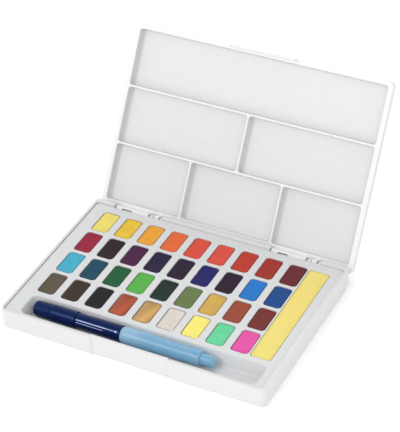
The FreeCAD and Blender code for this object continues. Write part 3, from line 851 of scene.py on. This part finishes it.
class BuildCollar(bpy.types.Operator):
    """Turn the navy collar that the cap pushes onto, and print plain bars on it"""

    bl_idname = "paintbox.brush_collar"
    bl_label = "Brush collar"

    def execute(self, context):
        look = context.scene.paint_box_brush
        low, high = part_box("brush_collar")
        reach = (high.x - low.x) / MM
        flare = (high.y - low.y) / 2 / MM
        slim = flare - 0.55
        shoulder = 8.5
        collar = turned(
            "navy_collar",
            [
                (0.0, 2.55, 0.1),
                (0.0, 4.9, 0.3),
                (0.8, 5.25, 0.4),
                (6.6, 5.25, 0.1),
                (7.0, 5.05, 0.1),
                (7.6, 5.05, 0.1),
                (8.0, 5.25, 0.1),
                (shoulder, 5.25, 0.05),
                (shoulder, slim, 0.35),
                (reach - 9.0, flare - 0.12, 3.0),
                (reach, flare, 0.35),
                (reach, 5.07, 0.2),
                (reach - 12.3, 5.07, 0.2),
                (reach - 12.3, 2.55, 0.2),
            ],
            low.x,
        )
        navy = glossy_navy("collar_navy", look.navy)
        hand_over(collar, navy, "brush_handle", "brush_navy", "brush_collar")
        ink = plain_ink("collar_print", look.print_colour)
        taper = (flare - 0.12 - slim) / (reach - 9.0 - shoulder)
        for name, start, end, turn, width in (
            ("print_long_bar", 9.8, 36.0, 44.0, 0.75),
            ("print_link", 36.0, 43.6, 44.0, 0.4),
            ("print_dot", 43.6, 45.2, 44.0, 1.5),
            ("print_short_bar", 9.8, 33.5, 63.0, 0.45),
        ):
            bar = self.bar(name, start, end, math.radians(turn), width, slim - taper * shoulder, taper, low)
            hand_over(bar, ink, "brush_handle", "brush_navy")
        return {"FINISHED"}

    def bar(self, name, start, end, turn, width, radius, taper, low):
        """A strip of ink lying on the collar's cone between two distances along it."""
        columns = 8
        rows = 4
        lift = 0.015
        vertices = []
        low_cap, high_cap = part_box("brush_cap")
        middle = (low_cap + high_cap) / 2
        for column in range(columns + 1):
            along = start + (end - start) * column / columns
            at = radius + taper * along + lift
            for row in range(rows + 1):
                angle = turn + (row / rows - 0.5) * width / at
                x = low.x + along * MM
                y = middle.y - at * MM * math.sin(angle)
                vertices.append((x, y, middle.z + at * MM * math.cos(angle)))
        faces = []
        for column in range(columns):
            for row in range(rows):
                first = column * (rows + 1) + row
                faces.append((first, first + rows + 1, first + rows + 2, first + 1))
        bar = new_piece(name, vertices, [], faces)
        stack(bar, "Ink film", "SOLIDIFY", thickness=0.02 * MM, offset=-1.0)
        return bar


class BuildBarrel(bpy.types.Operator):
    """Blow the soft water barrel with its swelling shoulder and ribbed tail"""

    bl_idname = "paintbox.brush_barrel"
    bl_label = "Brush barrel"

    def execute(self, context):
        look = context.scene.paint_box_brush
        low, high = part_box("brush_barrel")
        reach = (high.x - low.x) / MM
        radius = (high.y - low.y) / 2 / MM
        neck = 12.0
        tail = reach - 12.2
        wall = 0.9
        slim = radius - 0.35
        tail_radius = 4.5
        notch = tail_radius - 0.14
        stations = [
            (0.0, 0.0, 0.0),
            (0.0, 3.2, 3.2),
            (0.0, 4.7, 4.7),
            (0.3, 4.98, 4.98),
            (neck - 0.3, 5.0, 5.0),
            (neck + 0.02, 5.0, 5.0),
            (neck + 0.05, 5.4, 5.4),
            (neck + 0.05, radius - 0.75, radius - 0.75),
            (neck + 0.3, radius - 0.5, radius - 0.5),
            (neck + 2.0, radius - 0.12, radius - 0.12),
            (neck + 5.0, radius, radius),
            (neck + 12.0, radius - 0.02, radius - 0.02),
            (tail - 2.0, slim, slim),
            (tail - 0.6, slim, slim),
            (tail - 0.15, slim - 0.15, slim - 0.15),
            (tail, slim - 0.5, slim - 0.5),
            (tail + 0.02, tail_radius + 0.45, tail_radius + 0.4),
            (tail + 0.2, tail_radius + 0.05, tail_radius),
            (tail + 0.9, tail_radius, notch),
            (tail + 5.4, tail_radius, notch),
            (tail + 6.1, tail_radius, tail_radius),
            (reach - 3.0, tail_radius - 0.05, tail_radius - 0.05),
            (reach - 1.3, tail_radius - 0.7, tail_radius - 0.7),
            (reach - 0.35, tail_radius - 2.0, tail_radius - 2.0),
            (reach, tail_radius - 3.4, tail_radius - 3.4),
            (reach, 0.0, 0.0),
        ]
        barrel = fluted("soft_barrel", stations, 12, low.x)
        plastic = barrel_plastic("barrel_blue_plastic", look.barrel_colour, low.x + neck * MM, high.x)
        hand_over(barrel, plastic, "brush_barrel", "barrel_blue", "brush_barrel")
        return {"FINISHED"}


class BuildTip(bpy.types.Operator):
    """Make what the cap hides: the nose, the tuft of bristles and the feed plug"""

    bl_idname = "paintbox.brush_tip"
    bl_label = "Brush tip"

    def execute(self, context):
        look = context.scene.paint_box_brush
        low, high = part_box("brush_nose")
        nose = turned(
            "clear_nose",
            [
                (0.0, 1.75, 0.1),
                (0.0, 2.3, 0.3),
                (9.1, 4.2, 0.6),
                (12.6, 4.4, 0.3),
                (12.6, 2.5, 0.1),
                (18.6, 2.5, 0.1),
                (18.6, 1.0, 0.1),
                (6.0, 1.0, 0.1),
                (6.0, 1.75, 0.1),
            ],
            low.x,
        )
        plastic = clear_plastic("nose_plastic", look.nose_colour)
        hand_over(nose, plastic, "brush_handle", "brush_nose", "brush_nose")
        low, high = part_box("brush_feed_plug")
        plug = turned(
            "felt_plug", [(0.0, 0.6, 0.1), (0.0, 2.48, 0.3), (12.0, 2.48, 0.3), (12.0, 0.6, 0.1)], low.x, 48
        )
        hand_over(plug, felt("feed_fibre", look.felt_colour), "brush_handle", "feed_felt", "brush_feed_plug")
        tuft = self.tuft(look)
        filament = nylon("bristle_filament", look.bristle_colour)
        hand_over(tuft, filament, "brush_handle", "bristle_nylon", "brush_bristles")
        return {"FINISHED"}

    def tuft(self, look):
        """A sunflower packing of filaments that belly out and meet at the point."""
        low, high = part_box("brush_bristles")
        middle = (low + high) / 2
        reach = high.x - low.x
        root = 1.62 * MM
        belly = 1.95 * MM
        golden = math.pi * (3 - math.sqrt(5))
        chance = random.Random("tuft")
        curve = bpy.data.curves.new("bristle_tuft", "CURVE")
        curve.dimensions = "3D"
        curve.bevel_depth = look.filament_width / 2
        curve.bevel_resolution = 0
        curve.resolution_u = 3
        curve.use_fill_caps = True
        for index in range(look.filaments):
            share = math.sqrt((index + 0.5) / look.filaments)
            angle = golden * index
            tip = low.x + reach * (0.02 + 0.2 * share * share) + chance.uniform(0, 0.5) * MM
            stops = (
                (high.x, root * share, 1.0),
                (low.x + reach * 0.62, root * share, 1.0),
                (low.x + reach * 0.48, belly * share, 1.0),
                (low.x + reach * 0.3, belly * share * 0.8, 0.8),
                (tip, 0.16 * MM * share, 0.25),
            )
            spline = curve.splines.new("NURBS")
            spline.points.add(len(stops) - 1)
            for point, (x, out, thickness) in zip(spline.points, stops):
                y = middle.y + out * math.cos(angle)
                point.co = (x, y, middle.z + out * math.sin(angle), 1.0)
                point.radius = thickness
            spline.order_u = 3
            spline.use_endpoint_u = True
        tuft = bpy.data.objects.new("bristle_tuft", curve)
        bpy.context.scene.collection.objects.link(tuft)
        return tuft


class BuildStage(bpy.types.Operator):
    """Set the pale floor, the soft lights and the camera"""

    bl_idname = "paintbox.stage"
    bl_label = "Stage"

    def execute(self, context):
        look = context.scene.paint_box_stage
        self.floor(look)
        for name, place, side in SOFTBOXES:
            self.softbox(name, place, side, getattr(look, f"{name}_power"))
        world = context.scene.world or bpy.data.worlds.new("studio")
        context.scene.world = world
        world.use_nodes = True
        background = world.node_tree.nodes["Background"]
        background.inputs["Color"].default_value = (1, 1, 1, 1)
        background.inputs["Strength"].default_value = look.sky
        context.scene.view_settings.view_transform = "Standard"
        self.camera(context, look)
        return {"FINISHED"}

    def floor(self, look):
        signs = ((-1, -1), (1, -1), (1, 1), (-1, 1))
        corners = [(x * FLOOR_HALF, y * FLOOR_HALF, -FLOOR_DROP) for x, y in signs]
        floor = new_piece("floor", corners, [], [(0, 1, 2, 3)])
        glow = {"Emission_Color": look.floor_colour, "Emission_Strength": look.floor_glow}
        shader = Shader("pale_floor", Roughness=0.8, Specular_IOR_Level=0.1, **glow)
        mottle = shader.noise(0.4, 2.0, 0.5)
        shader.set("Base_Color", shader.mix(mottle, tinted(look.floor_colour, 0.99), look.floor_colour))
        floor.data.materials.append(shader.material)

    def softbox(self, name, position, side, power):
        light = bpy.data.lights.new(name, "AREA")
        light.shape = "SQUARE"
        light.size = side
        light.energy = power
        lamp = bpy.data.objects.new(name, light)
        lamp.location = position
        lamp.rotation_euler = (-Vector(position)).to_track_quat("-Z", "Y").to_euler()
        bpy.context.scene.collection.objects.link(lamp)

    def camera(self, context, look):
        level = math.cos(look.elevation)
        sideways = math.sin(look.azimuth) * level
        forwards = -math.cos(look.azimuth) * level
        away = Vector((sideways, forwards, math.sin(look.elevation)))
        data = bpy.data.cameras.new("camera")
        data.lens = look.lens
        data.clip_start = 0.01
        camera = bpy.data.objects.new("camera", data)
        camera.location = CAMERA_TARGET + away * look.distance
        aim = (-away).to_track_quat("-Z", "Y") @ Quaternion((0, 0, 1), look.roll)
        camera.rotation_euler = aim.to_euler()
        context.scene.collection.objects.link(camera)
        context.scene.camera = camera


# ------------------------------------------------------------------------------------------------ add-on

OPERATORS = (BuildStage, BuildCase, BuildCakes, BuildSponge, BuildCap, BuildCollar, BuildBarrel, BuildTip)


class PaintBoxPanel(bpy.types.Panel):
    """Lists the paint box's pieces"""

    bl_idname = "PAINTBOX_PT_pieces"
    bl_label = "Watercolor pan set"
    bl_space_type = "VIEW_3D"
    bl_region_type = "UI"
    bl_category = "Paint box"

    def draw(self, context):
        for operator in OPERATORS:
            self.layout.operator(operator.bl_idname)
        for name in GROUPS:
            settings = getattr(context.scene, name)
            box = self.layout.box()
            for key in settings.bl_rna.properties.keys():
                if key not in ("rna_type", "name"):
                    box.prop(settings, key)


GROUPS = {
    "paint_box_case": PaintBoxCase,
    "paint_box_cakes": PaintBoxCakes,
    "paint_box_sponge": PaintBoxSponge,
    "paint_box_brush": PaintBoxBrush,
    "paint_box_stage": PaintBoxStage,
}


def register():
    for kind in (*GROUPS.values(), *OPERATORS, PaintBoxPanel):
        bpy.utils.register_class(kind)
    for name, kind in GROUPS.items():
        setattr(bpy.types.Scene, name, PointerProperty(type=kind))


def unregister():
    for name in GROUPS:
        delattr(bpy.types.Scene, name)
    for kind in reversed((*GROUPS.values(), *OPERATORS, PaintBoxPanel)):
        bpy.utils.unregister_class(kind)


def main():
    register()
    for operator in OPERATORS:
        family, name = operator.bl_idname.split(".")
        getattr(getattr(bpy.ops, family), name)()


if __name__ == "__main__":
    main()
